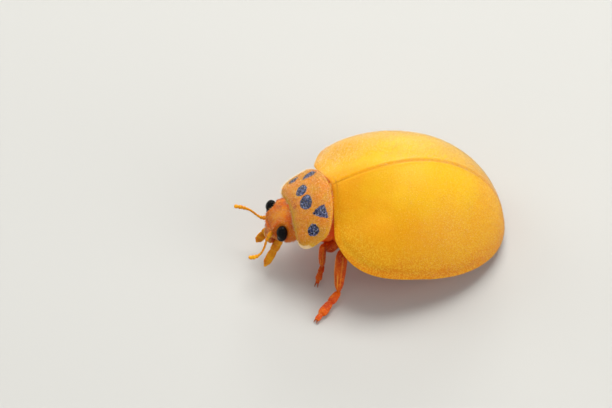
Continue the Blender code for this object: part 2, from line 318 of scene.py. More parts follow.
hornLooks = {                    # dark, middle and pale colour, roughness, blots, specks, waxiness
    "headHorn": ((0.60, 0.090, 0.001), (0.67, 0.165, 0.002), (0.80, 0.35, 0.020), 0.4, 0.25, 0.055, 0.25),
    "feelerHorn": ((0.66, 0.21, 0.004), (0.80, 0.35, 0.006), (0.90, 0.52, 0.04), 0.42, 0.2, 0.06, 0.35),
    "mouthHorn": ((0.42, 0.07, 0.008), (0.62, 0.20, 0.02), (0.85, 0.50, 0.16), 0.4, 0.12, 0.03, 0.25),
    "legHorn": ((0.56, 0.045, 0.001), (0.74, 0.12, 0.001), (0.94, 0.44, 0.05), 0.38, 0.3, 0.06, 0.25),
    "bellyHorn": ((0.86, 0.075, 0.001), (0.94, 0.14, 0.001), (0.95, 0.35, 0.02), 0.45, 0.35, 0.06, 0.25),
    "clawHorn": ((0.26, 0.04, 0.004), (0.42, 0.09, 0.008), (0.60, 0.20, 0.03), 0.35, 0.06, 0.02, 0.1),
}


def hornColour(name):
    dark, middle, pale, roughness, blots, specks, wax = hornLooks[name]
    return lambda tree: plainColour(tree, dark, middle, pale, blots, specks)


def makeHornMaterial(name):
    roughness, wax = hornLooks[name][3], hornLooks[name][6]
    look = {"roughness": (roughness, roughness - 0.07, roughness + 0.1, 0.06), "shine": 0.16,
            "wax": (wax, (1.0, 0.35, 0.08), 0.1),
            "relief": [(pits, 0.03, 0.004), (grain, 0.015, 0.003), (grain, 0.12, 0.008)]}
    return makeMaterial(name, look, hornColour(name))


eyeLook = {
    "dark": (0.002, 0.002, 0.003), "pale": (0.008, 0.007, 0.007), "facet": 0.022,
    "roughness": (0.15, 0.10, 0.2, 0.08), "shine": 0.08, "wax": (0, (1.0, 0.2, 0.1), 0.1),
    "relief": [(pits, 0.022, 0.0008)],
}
hairLook = {"tip": (1.0, 0.90, 0.68), "roughness": (0.5, 0.42, 0.6, 0.1), "shine": 0.1,
            "wax": (0.4, (1.0, 0.7, 0.2), 0.05), "relief": []}


def eyeColour(tree):
    return mixColour(tree, pits(tree, eyeLook["facet"]), eyeLook["dark"], eyeLook["pale"])


def makeHairMaterial(name, colourRule, whiten):
    # hair carries the colours of the skin under it, paler to its tip
    def colour(tree):
        tip = remap(tree, readValue(tree, "tip"), 0.4, 1.0, *whiten)
        return mixColour(tree, tip, colourRule(tree), hairLook["tip"])

    return makeMaterial(name, hairLook, colour)


# roots sunk into the skin, spread of the rise, how much shorter or longer, patch on the unwrap
coat = {"sides": 3, "sink": 0.004, "riseSpread": 0.16, "shorter": 0.3, "longer": 0.25, "patch": 0.003}


def hairShape():
    # one hair, 1 across and 1 long: a cone with its point up
    bm = bmesh.new()
    bmesh.ops.create_cone(bm, cap_ends=True, segments=coat["sides"], radius1=0.5, radius2=0, depth=1)
    bmesh.ops.translate(bm, vec=(0, 0, 0.5), verts=bm.verts)
    bmesh.ops.remove_doubles(bm, verts=bm.verts, dist=1e-4)
    bmesh.ops.triangulate(bm, faces=bm.faces)
    points = np.array([vert.co for vert in bm.verts])
    faces = np.array([[vert.index for vert in face.verts] for face in bm.faces])
    bm.free()
    return points, faces


def readArray(collection, field, width, kind=np.float32):
    values = np.empty(len(collection) * width, kind)
    collection.foreach_get(field, values)
    return values.reshape(-1, width) if width > 1 else values


def unit(vectors):
    return vectors / np.maximum(np.linalg.norm(vectors, axis=1, keepdims=True), 1e-12)


def growCoat(name, skin, material, hair, way, chance):
    # way is where the hair points, chance says where it grows
    rng = np.random.default_rng(hair["seed"])
    mesh = skin.data
    mesh.calc_loop_triangles()
    corners = readArray(mesh.loop_triangles, "loops", 3, np.int32)
    verts = readArray(mesh.loop_triangles, "vertices", 3, np.int32)
    points = readArray(mesh.vertices, "co", 3) / mm
    normals = readArray(mesh.vertices, "normal", 3)
    unwrap = readArray(mesh.uv_layers["unwrap"].uv, "vector", 2)
    a, b, c = (points[verts[:, k]] for k in range(3))
    areas = np.linalg.norm(np.cross(b - a, c - a), axis=1) / 2
    weight = areas * chance((a + b + c) / 3, unit(normals[verts].sum(1)))
    picked = rng.choice(len(areas), hair["count"], p=weight / weight.sum())
    share = rng.random((hair["count"], 2))
    share = np.where(share.sum(1, keepdims=True) > 1, 1 - share, share)
    share = np.column_stack([1 - share.sum(1), share])[:, :, None]
    root = (points[verts[picked]] * share).sum(1)
    normal = unit((normals[verts[picked]] * share).sum(1))
    rootUv = (unwrap[corners[picked]] * share).sum(1)

    along = np.broadcast_to(way, root.shape)
    along = unit(along - (along * normal).sum(1, keepdims=True) * normal)
    across = np.cross(normal, along)
    stray = rng.normal(0, hair["stray"], (hair["count"], 1))
    along = along * np.cos(stray) + across * np.sin(stray)
    rise = hair["rise"] + rng.normal(0, coat["riseSpread"], (hair["count"], 1))
    up = unit(along * np.cos(rise) + normal * np.sin(rise))
    side = unit(np.cross(up, normal))
    other = np.cross(up, side)
    length = hair["length"] * (1 + rng.uniform(-coat["shorter"], coat["longer"], (hair["count"], 1)))

    shape, faces = hairShape()
    count, size = hair["count"], len(shape)
    placed = (root[:, None] - normal[:, None] * coat["sink"]
              + side[:, None] * shape[None, :, 0:1] * hair["width"]
              + other[:, None] * shape[None, :, 1:2] * hair["width"]
              + up[:, None] * shape[None, :, 2:3] * length[:, None])
    allFaces = (faces[None] + (np.arange(count) * size)[:, None, None]).reshape(-1, 3)
    tufts = bpy.data.meshes.new(name)
    tufts.from_pydata((placed * mm).reshape(-1, 3), [], allFaces, shade_flat=False)
    patch = rootUv[:, None] + shape[None, :, :2] * coat["patch"]
    bake = tufts.uv_layers.new(name="OFBake")
    bake.uv.foreach_set("vector", patch.reshape(-1, 2)[allFaces.ravel()].astype(np.float32).ravel())
    values = {"tip": np.tile(shape[:, 2], count)}
    for kept in ("tone", "spot", "blush", "speckle"):
        if kept in mesh.attributes:
            found = readArray(mesh.attributes[kept].data, "value", 1)
            values[kept] = np.repeat((found[verts[picked]] * share[:, :, 0]).sum(1), size)
    for kept, value in values.items():
        tufts.attributes.new(kept, "FLOAT", "POINT").data.foreach_set("value", value.astype(np.float32))
    tufts.materials.append(material)
    piece = bpy.data.objects.new(name, tufts)
    bpy.context.collection.objects.link(piece)
    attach(piece, "root")


case = {
    "halfWidth": 2.92, "taper": 0.025, "topBack": 2.72, "frontReach": 2.85, "rearReach": 3.30,
    "height": 2.42, "frontSquareness": 3.15, "rearSquareness": 2.19,
    "fall": (1.69, 2.15, 1.99), "fullness": (1.04, 1.30, 1.49),      # to the front, rear and sides
    "frontLift": 1.15, "liftHalfWidth": 1.30, "liftSquareness": 1.8,
    "coat": 0.02, "wall": 0.09, "seam": 0.003, "seamRidge": 0.014, "seamRows": (0.1, 0.06, 0.035),
    # height above the margin, width, and depth of the groove over the bead's
    "bead": 0.03, "beadWidth": 0.07, "groove": 0.6, "grooveAt": 0.19, "grooveWidth": 0.09,
    "shoulder": (2.0, 0.85), "shoulderSpread": 0.40, "shoulderWay": (0.45, -0.35, 0.8),
    "shoulderRise": 0.06, "shoulderDip": 0.010, "shoulderDipAt": 1.7, "shoulderDipWidth": 0.45,
    "corner": (1.6, 0.05, 0.45), "cornerSpread": 0.35, "cornerReach": 0.09, "cornerWay": (0.3, -0.9, 0.1),
}
# the lip under the margin: way round the ball, how far inwards, how far up
caseFold = [(0, 0, 0), (0.09, 0.33, 0.06), (0.12, 0.35, 0.09), (0.20, 0.13, 0.13)]


def casePoint(around, out, inset=0.0):
    # the wing cases' dome: out runs from 0 on the top to 1 at the margin
    c, s = math.cos(around), math.sin(around)
    front, rear = max(-s, 0) ** 2, max(s, 0) ** 2
    weights = (front, rear, 1 - front - rear)
    squareness = case["frontSquareness" if s < 0 else "rearSquareness"]
    x = (case["halfWidth"] - inset) * c
    y = (case["frontReach" if s < 0 else "rearReach"] - inset) * s
    margin = superellipse(around, squareness)
    edge = 0
    if s < 0:
        side = x * margin * (1 - case["taper"] * y * margin)
        lift = abs(side / (case["liftHalfWidth"] - inset / 2)) ** case["liftSquareness"]
        edge = (case["frontLift"] - inset / 2) * math.exp(-lift)
    fall = 2 + (sum(w * v for w, v in zip(weights, case["fall"])) - 2) * out
    fullness = sum(w * v for w, v in zip(weights, case["fullness"]))
    rise = (1 - min(1.0, out) ** fall) ** (1 / fullness)
    spread = superellipse(around, 2 + (squareness - 2) * out ** 2) * out
    x *= spread * (1 - case["taper"] * y * spread)
    top = case["height"] - inset
    return Vector((x, case["topBack"] + y * spread, edge + (top - edge) * rise))


def caseSurface(around, out, up):
    # the upper half of the ball is the outside, the lower half the folded lip and the inner wall
    if up < -caseFold[-1][0]:
        return casePoint(around, out, case["coat"] + case["wall"])
    edge = casePoint(around, 1, case["coat"])
    outwards = Vector((edge.x, edge.y - case["topBack"], 0)).normalized()
    if up < -1e-4:                       # below the ball's middle row, whose height is only nearly 0
        inwards, rise = alongTable(caseFold, -up)
        return edge - outwards * inwards + Vector((0, 0, rise))
    point = casePoint(around, out, case["coat"])
    height = point.z - edge.z
    flank = (1 - stepUp(edge.z, 0.15, 0.6)) * (1 - 0.9 * stepUp(math.sin(around), 0.3, 0.95))
    bead = swell(height, 0, case["beadWidth"])
    bead -= case["groove"] * swell(height, case["grooveAt"], case["grooveWidth"])
    point += outwards * case["bead"] * flank * bead
    mirror = Vector((math.copysign(1, point.x), 1, 1))
    corner = (point * mirror - Vector(case["corner"])).length
    point += Vector(case["cornerWay"]) * mirror * case["cornerReach"] * swell(corner, 0, case["cornerSpread"])
    shoulderX, shoulderY = case["shoulder"]
    near = math.hypot(abs(point.x) - shoulderX, point.y - shoulderY) / case["shoulderSpread"]
    rise = case["shoulderRise"] * swell(near, 0, 1)
    rise -= case["shoulderDip"] * swell(near, case["shoulderDipAt"], case["shoulderDipWidth"])
    return point + (Vector(case["shoulderWay"]) * mirror).normalized() * rise


# tone weights of the cases: the right case's paler tone is painted light, the lip's deeper tone is painted
# shade
caseShade = {"rightLitPaler": 0.6, "frontPaler": 0.4, "lip": 0.3, "seamFront": 0.35, "seam": 0.5}


def caseToneAndShade(co, shape):
    # deeper down the flanks, partly own colour and partly painted shade, along the seam and at its front end;
    # the front lip is deeper with painted shade of its fold; the right case is painted paler as if lit
    low = 1 - min(1.0, max(0.0, co.z / case["height"]))
    # painted light: the right case is made paler
    low *= 1 - caseShade["rightLitPaler"] * stepUp(-co.x, 0.0, 1.4)
    low *= 1 - caseShade["frontPaler"] * stepUp(-shape.y, 0.3, 0.9)
    # painted shade in the fold along the front lip
    lip = stepUp(math.hypot(shape.x, shape.y), 0.965, 0.995) * stepUp(-shape.y, 0.2, 0.8)
    seamFront = swell(math.hypot(co.x, co.y - 0.1), 0, 0.6)
    seam = swell(co.x, 0, 0.08) * stepUp(co.y, -0.1, 1.0)
    return (low + caseShade["lip"] * lip + caseShade["seamFront"] * seamFront
            + caseShade["seam"] * seam)


def caseSpeckleAndGlint(co):
    # pale specks, partly the down's own and partly painted glints, to the rear, low on the flanks and all
    # over the right case
    return max(stepUp(co.y, 1.8, 4.0), 1 - stepUp(co.z, 0.4, 1.3), stepUp(-co.x, 0.3, 1.0))


def cutAt(bm, x, side, clear=False):
    return bmesh.ops.bisect_plane(bm, geom=bm.verts[:] + bm.edges[:] + bm.faces[:], dist=1e-5,
                                  plane_co=(side * x, 0, 0), plane_no=(side, 0, 0), clear_inner=clear)


def makeWingCases(material):
    made = []
    for name, side in (("left", 1), ("right", -1)):
        bm = ball(176, 112, caseSurface)
        for offset in case["seamRows"]:            # fine rows along the seam
            cutAt(bm, offset, side)
        cut = cutAt(bm, case["seam"] / 2, side, clear=True)
        rim = [item for item in cut["geom_cut"] if isinstance(item, bmesh.types.BMEdge)]
        bmesh.ops.contextual_create(bm, geom=rim)
        for vert in bm.verts:
            ridge = swell(abs(vert.co.x), 0.10, 0.04) - 2.0 * swell(abs(vert.co.x), 0, 0.05)
            vert.co.z += case["seamRidge"] * ridge * stepUp(vert.co.y, 0.0, 0.4)
        outward(bm)
        speckle = bm.verts.layers.float.new("speckle")
        for vert in bm.verts:
            vert[speckle] = caseSpeckleAndGlint(vert.co)
        setTone(bm, caseToneAndShade)
        piece = finishPiece(f"wing_case_{name}", bm, material, [f"elytron_{name}"],
                            bodyPlace, domed=True)
        made.append(piece)
    return made


caseDown = {
    "length": 0.08, "width": 0.006, "rise": 0.4, "stray": 0.35, "seed": 11,
    # the right case gets more down, part of its painted sheen of backlit hair
    "counts": {"left": 11000, "right": 33000}, "frontShare": 0.06,
    "way": (0, 1, -0.25), "middleUp": 0.4, "thinOver": 2.6, "thickFrom": 1.4, "rightSheenFrom": 0.6,
}


def coatWingCases(cases, materials):
    rearward = np.array(bodyPlace.to_3x3() @ Vector(caseDown["way"]))
    domeMiddle = np.array(bodyPlace @ Vector((0, case["topBack"], caseDown["middleUp"])))

    def outside(centre, normal):
        # thicker to the rear, and on the right flank, where the denser, whiter down is painted sheen of
        # backlit hair
        back = 1 + (centre[:, 1] - domeMiddle[1] - caseDown["thickFrom"]) / caseDown["thinOver"]
        thick = caseDown["frontShare"] + (1 - caseDown["frontShare"]) * np.clip(back, 0, 1)
        thick = np.maximum(thick, np.clip(-centre[:, 0] - caseDown["rightSheenFrom"], 0, 1))
        return (((centre - domeMiddle) * normal).sum(1) > 0.25) * thick

    for index, (name, skin) in enumerate(zip(("left", "right"), cases)):
        hair = dict(caseDown, seed=caseDown["seed"] + index, count=caseDown["counts"][name])
        growCoat(f"wing_case_down_{name}", skin, materials[index], hair, rearward, outside)


scutellum = {
    "centre": (0, 0.0, 1.145), "slope": math.radians(38), "halfWidth": 0.264, "reach": 0.3125,
    "thick": 0.12, "crown": 0.03, "corners": (0.62, 0.75),
}


def makeScutellum(material):
    def form(around, out, up):
        # a rounded triangle
        share, power = scutellum["corners"]
        corner = (around + math.pi / 2) % (math.tau / 3) - math.pi / 3
        reach = out * (share / math.cos(corner)) ** power
        x, y = math.cos(around) * reach, math.sin(around) * reach
        rise = scutellum["crown"] if up > 0 else scutellum["thick"]
        return Vector((x * scutellum["halfWidth"], y * scutellum["reach"], up * rise))

    bm = ball(42, 16, form)
    place = (bodyPlace @ Matrix.Translation(scutellum["centre"])
             @ Matrix.Rotation(scutellum["slope"], 4, "X"))
    return finishPiece("scutellum_plate", bm, material, ["scutellum"], place, domed=True)


shield = {
    "rear": (0.177, 0.133, 3.136), "slope": math.radians(38), "turn": math.radians(2.3),
    "halfWidth": 1.424, "widest": 0.94, "frontReach": 0.86, "frontSquareness": 4.8,
    "rearSquareness": 1.75, "hollow": 0.215, "hollowWidth": 0.8, "rearArch": 0.140, "frontArch": 0.180,
    "lobe": 0.11, "lobeAt": 1.20, "lobeWidth": 0.26,
    "crown": 0.34, "under": 0.05, "coat": 0.015,
    # height, where it runs from the middle out, and width
    "bead": (0.02, 0.985, 0.02), "gutter": (0.016, 0.93, 0.035),
    # the front corners' rim is turned up and out
    "flare": 0.10, "flareWidth": 0.32, "flareSpread": 0.6,
}
shieldPlace = (standPlace @ Matrix.Translation(shield["rear"])
               @ Matrix.Rotation(shield["turn"], 4, "Z") @ Matrix.Rotation(shield["slope"], 4, "X"))
# from the midline, forward of the rear edge, half width, half length, turn, and how three-cornered
shieldSpots = [
    (0.26, 0.84, 0.265, 0.225, -0.2, 0.1), (-0.27, 0.86, 0.22, 0.215, 0.2, 0.1),
    (0.79, 0.54, 0.235, 0.235, -0.30, 0.85), (-0.80, 0.53, 0.18, 0.24, 0.30, 0.7),
    (1.12, 1.06, 0.19, 0.21, 0.2, 0.2), (-1.07, 1.14, 0.15, 0.20, -0.2, 0.2),
    (0.0, 0.28, 0.018, 0.018, 0, 0),
]
spotCorner = {"side": 0.72, "roundness": 0.8, "archSlope": 0.6}
# a reddish patch between the front spots: half width, half length, forward of the rear edge, strength
shieldBlush = {"halfWidth": 0.26, "halfLength": 0.2, "forward": 1.32, "strength": 0.7}


def shieldPoint(around, out, up):
    # an arched plate, nearly straight in front and round behind, with a raised rim
    c, s = math.cos(around), math.sin(around)
    squared = superellipse(around, shield["frontSquareness" if s < 0 else "rearSquareness"])
    outline = out * (1 - shield["coat"] / shield["halfWidth"])
    x = shield["halfWidth"] * squared * c * outline
    reach = shield["frontReach"] if s < 0 else shield["widest"]
    forward = shield["widest"] - reach * squared * s * outline
    front = max(-s, 0) * out
    forward -= shield["hollow"] * front * swell(x, 0, shield["hollowWidth"])
    forward += shield["lobe"] * front * swell(abs(x), shield["lobeAt"], shield["lobeWidth"])
    share = forward / (shield["widest"] + shield["frontReach"])
    arch = shield["rearArch"] + (shield["frontArch"] - shield["rearArch"]) * share
    lens = shield["crown"] if up > 0 else shield["under"]
    rim = 0
    if up > 0:
        (bead, *beadRun), (gutter, *gutterRun) = shield["bead"], shield["gutter"]
        rim = bead * swell(out, *beadRun) - gutter * swell(out, *gutterRun)
    flare = shield["flare"] * front * swell(abs(x), shield["halfWidth"], shield["flareWidth"])
    side = x + math.copysign(flare * shield["flareSpread"], x)
    return Vector((side, -forward, lens * up - arch * x ** 2 + rim + flare))


def spotDepth(co):
    # how far inside the nearest spot a place is, below 0 outside
    depth = -1.0
    for across, forward, wide, long, turn, corners in shieldSpots:
        dx, dy = co.x - across, -co.y - forward
        dx, dy = dx * math.cos(turn) - dy * math.sin(turn), dx * math.sin(turn) + dy * math.cos(turn)
        slope = math.sqrt(1 + (spotCorner["archSlope"] * co.x) ** 2)
        angle = math.atan2(dy * wide, dx * slope * long) + math.pi / 2
        third = (angle + math.pi / 3) % (math.tau / 3) - math.pi / 3
        edge = (1 - corners) + corners * spotCorner["side"] / math.cos(third) ** spotCorner["roundness"]
        away = math.hypot(dx * slope / wide, dy / long)
        depth = max(depth, (edge - away) * min(wide, long))
    return depth


def makeShield(material):
    bm = ball(180, 120, shieldPoint)
    spot, blush = (bm.verts.layers.float.new(name) for name in ("spot", "blush"))
    for vert in bm.verts:
        vert[spot] = spotDepth(vert.co)
        patch = math.hypot(vert.co.x / shieldBlush["halfWidth"],
                           (-vert.co.y - shieldBlush["forward"]) / shieldBlush["halfLength"])
        vert[blush] = shieldBlush["strength"] * math.exp(-patch ** 4)

    def tone(co, shape):
        out, ahead = math.hypot(shape.x, shape.y), -shape.y
        strip = 0.55 * stepUp(ahead, 0.5, 0.95)
        lobes = 0.3 * stepUp(abs(co.x), 0.95, 1.35)
        rim = stepUp(out, 0.93, 0.97) * stepUp(abs(co.x), 0.8, 1.1) * stepUp(ahead, 0.2, 0.6)
        return max(strip, lobes, rim)

    setTone(bm, tone)
    return finishPiece("spotted_shield", bm, material, ["pronotum"], shieldPlace, domed=True)


shieldDown = {"count": 5000, "length": 0.09, "width": 0.010, "rise": 0.6, "stray": 0.5, "seed": 21}


def coatShield(skin, material):
    upwards = np.array(shieldPlace.to_3x3() @ Vector((0, 0, 1)))
    rearward = np.array(shieldPlace.to_3x3() @ Vector((0, 1, 0)))

    def outside(centre, normal):
        return (normal @ upwards > 0.05).astype(float)

    growCoat("shield_down", skin, material, shieldDown, rearward, outside)


trunk = {
    # back from the front of the wing cases, half width, top and bottom, in the body's frame
    "rows": [
        (-1.18, 0.30, 0.30, -0.22), (-0.95, 0.72, 0.55, -0.50), (-0.50, 1.02, 0.86, -0.80),
        (-0.25, 1.05, 0.93, -0.84), (-0.08, 1.08, 0.91, -0.86), (0.18, 1.18, 0.96, -0.80),
        (0.50, 1.50, 1.04, -0.62), (1.10, 2.05, 1.15, -0.60), (2.30, 2.30, 1.30, -0.62),
        (3.60, 2.15, 1.10, -0.60), (4.70, 1.60, 0.75, -0.46), (5.30, 1.05, 0.40, -0.28),
        (5.72, 0.45, 0.12, -0.08),
    ],
    "frontCap": 0.12, "rearCap": 0.06, "squareness": 2.5, "plateBow": 0.12,
    "sideGroove": (0.06, 0.13, 0.06),    # share of the width, where and how wide
    # across the underside: where, how deep and how wide
    "grooves": [(0.16, 0.09, 0.09), (1.10, 0.035, 0.05), (2.28, 0.06, 0.05), (3.15, 0.035, 0.04),
                (3.75, 0.035, 0.04), (4.28, 0.035, 0.04), (4.75, 0.03, 0.035), (5.15, 0.03, 0.03)],
}


def makeTrunk(material):
    rows = trunk["rows"]
    front, rear = rows[0][0] - trunk["frontCap"], rows[-1][0] + trunk["rearCap"]
    narrowing, grooveAt, grooveWidth = trunk["sideGroove"]

    def form(around, out, up):
        share = (up + 1) / 2
        y = front + (rear - front) * share
        half, top, bottom = alongTable(rows, y)
        closing = min(1.0, (share * 26) ** 0.5, ((1 - share) * 40) ** 0.5)
        middle = (top + bottom) / 2
        s = math.sin(around)
        groove = narrowing * swell(y, grooveAt, grooveWidth) * stepUp(0.8 - s, 0, 0.4)
        reach = superellipse(around, trunk["squareness"]) * (1 - groove)
        z = middle + (top - middle if s > 0 else middle - bottom) * s * reach * closing
        if s < 0:                        # plates of the underside
            bow = trunk["plateBow"] * s ** 2
            for back, deep, wide in trunk["grooves"]:
                z += deep * swell(y, back + bow, wide) * stepUp(-s, 0.05, 0.5)
        return Vector((half * math.cos(around) * reach * closing, y, z))

    bm = ball(96, 220, form)
    setTone(bm, lambda co, shape: 0.35 * stepUp(abs(co.x), 0.8, 2.4) * stepUp(co.y, 2.0, 3.0))
    return finishPiece("trunk_skin", bm, material, ["prothorax", "thorax", "abdomen"], bodyPlace)


head = {
    # eye and feeler socket are given from the middle of the head
    "centre": (0.07, -1.269, 1.655), "size": (0.76, 0.555, 0.73),
    "nod": math.radians(-49), "turn": math.radians(5.4),
    "eye": (0.575, -0.325, 0.13), "eyeSize": (0.205, 0.178, 0.295),
    "socket": (0.36, -0.54, 0.0), "socketWidth": 0.10, "socketDepth": 0.06,
    "brow": 0.075, "browAt": (0.37, 0.12), "browWidth": (0.12, 0.26), "eyeSink": 0.05,
    "forehead": 0.015, "mouthStep": 0.04, "mouthGroove": 0.035, "squareness": 2.35,
    # share of the width and of the depth, from the mouth end to the crown
    "wide": [(-1, 0.60), (-0.75, 0.68), (-0.35, 0.95), (0.0, 1.0), (0.5, 1.0), (1, 0.95)],
    "deep": [(-1, 0.80), (-0.5, 0.95), (0, 1.0), (1, 1.0)],
}
headMiddle = (standPlace @ Matrix.Translation(head["centre"])
              @ Matrix.Rotation(head["turn"], 4, "Z"))
headPlace = headMiddle @ Matrix.Rotation(head["nod"], 4, "X")


def headSurface(around, out, up):
    # the crown runs back under the shield; the mouth end is narrow
    x, y = math.cos(around) * out, math.sin(around) * out
    wide, deep = (alongTable(head[share], up)[0] for share in ("wide", "deep"))
    squared = superellipse(around, head["squareness"]) if y < 0 else 1
    point = Vector((x * wide * squared * head["size"][0], y * deep * squared * head["size"][1],
                    up * head["size"][2]))
    if y < 0:                            # forehead flat, mouth shield stepped below it
        point.y += head["forehead"] * swell(x, 0, 0.45) * swell(up, 0.25, 0.35)
        point.y -= head["mouthStep"] * stepUp(-up, 0.52, 0.60) * stepUp(-y, 0.1, 0.5)
        point.y += head["mouthGroove"] * swell(up, -0.54, 0.05) * stepUp(-y, 0.3, 0.7)
    eye, turned = Vector(head["eye"]), Matrix.Rotation(head["nod"], 3, "X")
    here = turned @ point
    here.x = abs(here.x)
    away = Vector([(a - b) / size for a, b, size in zip(here, eye, head["eyeSize"])])
    sink = head["eyeSink"] * swell(away.length, 0.9, 0.32)
    sink += head["socketDepth"] * swell((here - Vector(head["socket"])).length, 0, head["socketWidth"])
    brow = head["brow"] * stepUp(-here.y, 0, 0.25)
    for place, middle, width in zip((here.x, here.z), head["browAt"], head["browWidth"]):
        brow *= swell(place, middle, width)
    return point * (1 - sink / 0.6) + turned.transposed() @ Vector((0, -brow, 0.4 * brow))


def makeHeadShell(material):
    bm = ball(120, 96, headSurface)

    def tone(co, shape):
        here = Matrix.Rotation(head["nod"], 3, "X") @ co
        cheek = 0.45 * swell(abs(here.x), 0.30, 0.10) * swell(here.z, -0.15, 0.2)
        crown = 0.5 * swell(here.x, 0.05, 0.2) * swell(here.z, 0.45, 0.22)
        return min(1.0, cheek + crown)

    setTone(bm, tone)
    return finishPiece("head_shell", bm, material, ["head"], headPlace)


headDown = {"count": 2000, "length": 0.09, "width": 0.010, "rise": 0.5, "stray": 0.5, "seed": 31,
            "eyeReach": 0.30, "lowest": 0.35}


def coatHead(skin, material):
    forward = np.array(headPlace.to_3x3() @ Vector((0, 0, -1)))
    middle = np.array(headMiddle.translation)
    eyes = [np.array(headMiddle @ Vector((side * head["eye"][0], *head["eye"][1:]))) for side in (1, -1)]

    def hairy(centre, normal):
        # none under the eyes or on the underside
        away = np.min([np.linalg.norm(centre - eye, axis=1) for eye in eyes], axis=0)
        high = centre[:, 2] > middle[2] - headDown["lowest"]
        return ((away > headDown["eyeReach"]) & high).astype(float)

    growCoat("head_down", skin, material, headDown, forward, hairy)


def makeEyes(material):
    for name, side in (("left", 1), ("right", -1)):
        def form(around, out, up):
            x, y = math.cos(around) * out, math.sin(around) * out
            notch = 0.18 * swell(y, -0.9, 0.35) * swell(up, -0.35, 0.3)
            scale = 1 - notch
            rx, ry, rz = head["eyeSize"]
            return Vector((x * rx * scale * side, y * ry * scale, up * rz * scale))

        bm = ball(48, 32, form)
        centre = Vector((head["eye"][0] * side, head["eye"][1], head["eye"][2]))
        place = headMiddle @ Matrix.Translation(centre) @ Matrix.Rotation(math.radians(-8), 4, "X")
        finishPiece(f"eye_globe_{name}", bm, material, [f"eye_{name}"], place)


mouth = {
    "lip": (0, -0.56, -0.48), "lipSize": (0.30, 0.10, 0.17), "lipTilt": math.radians(-45),
    "jaw": (0.13, -0.44, -0.60), "jawSize": (0.15, 0.20, 0.13),
}


def makeMouth(lipMaterial, jawMaterial):
    def lipForm(around, out, up):
        squared = superellipse(around, 2.4)
        x, y = math.cos(around) * out * squared, math.sin(around) * out * squared
        notch = 0.14 * swell(x, 0, 0.25) * stepUp(-up, 0.5, 1.0)
        rx, ry, rz = mouth["lipSize"]
        return Vector((x * rx * (1 - 0.2 * up), y * ry, (up + notch) * rz))

    lip = ball(48, 28, lipForm)
    setTone(lip, lambda co, shape: 0.9 * stepUp(-shape.z, 0.45, 0.75) * stepUp(-shape.y, -0.2, 0.3))
    place = headMiddle @ Matrix.Translation(mouth["lip"]) @ Matrix.Rotation(mouth["lipTilt"], 4, "X")
    finishPiece("upper_lip", lip, lipMaterial, ["labrum"], place)

    jaws = []
    for side in (1, -1):
        def jawForm(around, out, up):
            # a hooked wedge, its tip towards the middle
            x, y = math.cos(around) * out, math.sin(around) * out
            hook = stepUp(-y, 0.2, 1.0)
            rx, ry, rz = mouth["jawSize"]
            return Vector(((x * rx * (1 - 0.6 * hook) - 0.10 * hook + mouth["jaw"][0]) * side,
                           y * ry + mouth["jaw"][1], up * rz * (1 - 0.55 * hook) + mouth["jaw"][2]))

        jaws.append(ball(28, 20, jawForm))
    finishPiece("jaw_pair", joined(*jaws), jawMaterial, ["mandibles"], headMiddle)


palps = {
    "left": [(0.25, -0.3, -0.5), (0.31, -0.39, -0.66), (0.36, -0.53, -0.84), (0.50, -0.88, -1.36)],
    "right": [(-0.25, -0.35, -0.52), (-0.33, -0.49, -0.6), (-0.32, -0.65, -0.74), (-0.29, -0.91, -1.04)],
    "face": (0.9, -0.1, 0.4),
    # width along each joint, how flat it is and how square its ends
    "joints": [([0.26, 0.28, 0.27], 0.8, 3.6), ([0.26, 0.30, 0.28], 0.6, 3.6),
               ([0.24, 0.29, 0.27, 0.09], 0.45, 3.2)],
}


def makePalps(material):
    for name in ("left", "right"):
        root, first, second, tip = (Vector(point) for point in palps[name])
        runs = [(root, first), (first.lerp(root, 0.25), second), (second.lerp(first, 0.22), tip)]
        bm = joined(*[
            limb([start, start.lerp(end, 0.5), end], widths, flat, 24, 26, palps["face"], sharp=sharp)
            for (start, end), (widths, flat, sharp) in zip(runs, palps["joints"])])
        setTone(bm, lambda co, shape: 0.45 * stepUp(shape.z, 0.6, 1.0))
        finishPiece(f"palp_joints_{name}", bm, material, [f"palp_{name}"], headMiddle)


feelers = {
    "left": [(0.3, -0.55, 0.04), (0.41, -0.76, -0.16), (0.54, -0.89, -0.36),
             (0.64, -1.04, -0.5), (0.7, -1.23, -0.53), (0.74, -1.47, -0.45)],
    "right": [(-0.36, -0.49, -0.06), (-0.47, -0.68, -0.11), (-0.62, -0.82, -0.06),
              (-0.73, -0.97, 0.06), (-0.84, -1.18, 0.14), (-0.97, -1.43, 0.15)],
    # share of the length where each joint ends, and its width
    "joints": [(0.17, 0.15), (0.25, 0.12), (0.36, 0.088), (0.45, 0.082), (0.53, 0.08), (0.60, 0.08),
               (0.66, 0.085), (0.72, 0.095), (0.81, 0.13), (0.90, 0.15), (1.0, 0.14)],
    "club": 3, "overlap": 0.012,
}


def makeFeelers(material):
    for name in ("left", "right"):
        line = spline(feelers[name], 20)
        last = len(line) - 1
        parts, start = [], 0.0
        for index, (end, width) in enumerate(feelers["joints"]):
            stretch = line[int(max(0.0, start - feelers["overlap"]) * last):int(end * last) + 1]
            path = [stretch[0], stretch[len(stretch) // 2], stretch[-1]]
            club = index >= len(feelers["joints"]) - feelers["club"]
            widths = [width * 0.55, width * 0.9, width, width * (0.8 if club else 0.85)]
            parts.append(limb(path, widths, 0.75 if club else 1.0, 14, 14, (0.3, 0.2, 0.9), sharp=2.2))
            start = end
        bm = joined(*parts)
        setTone(bm, lambda co, shape: 0.3 * stepUp(shape.z, 0.5, 0.95))
        finishPiece(f"feeler_joints_{name}", bm, material, [f"antenna_{name}"], headMiddle)


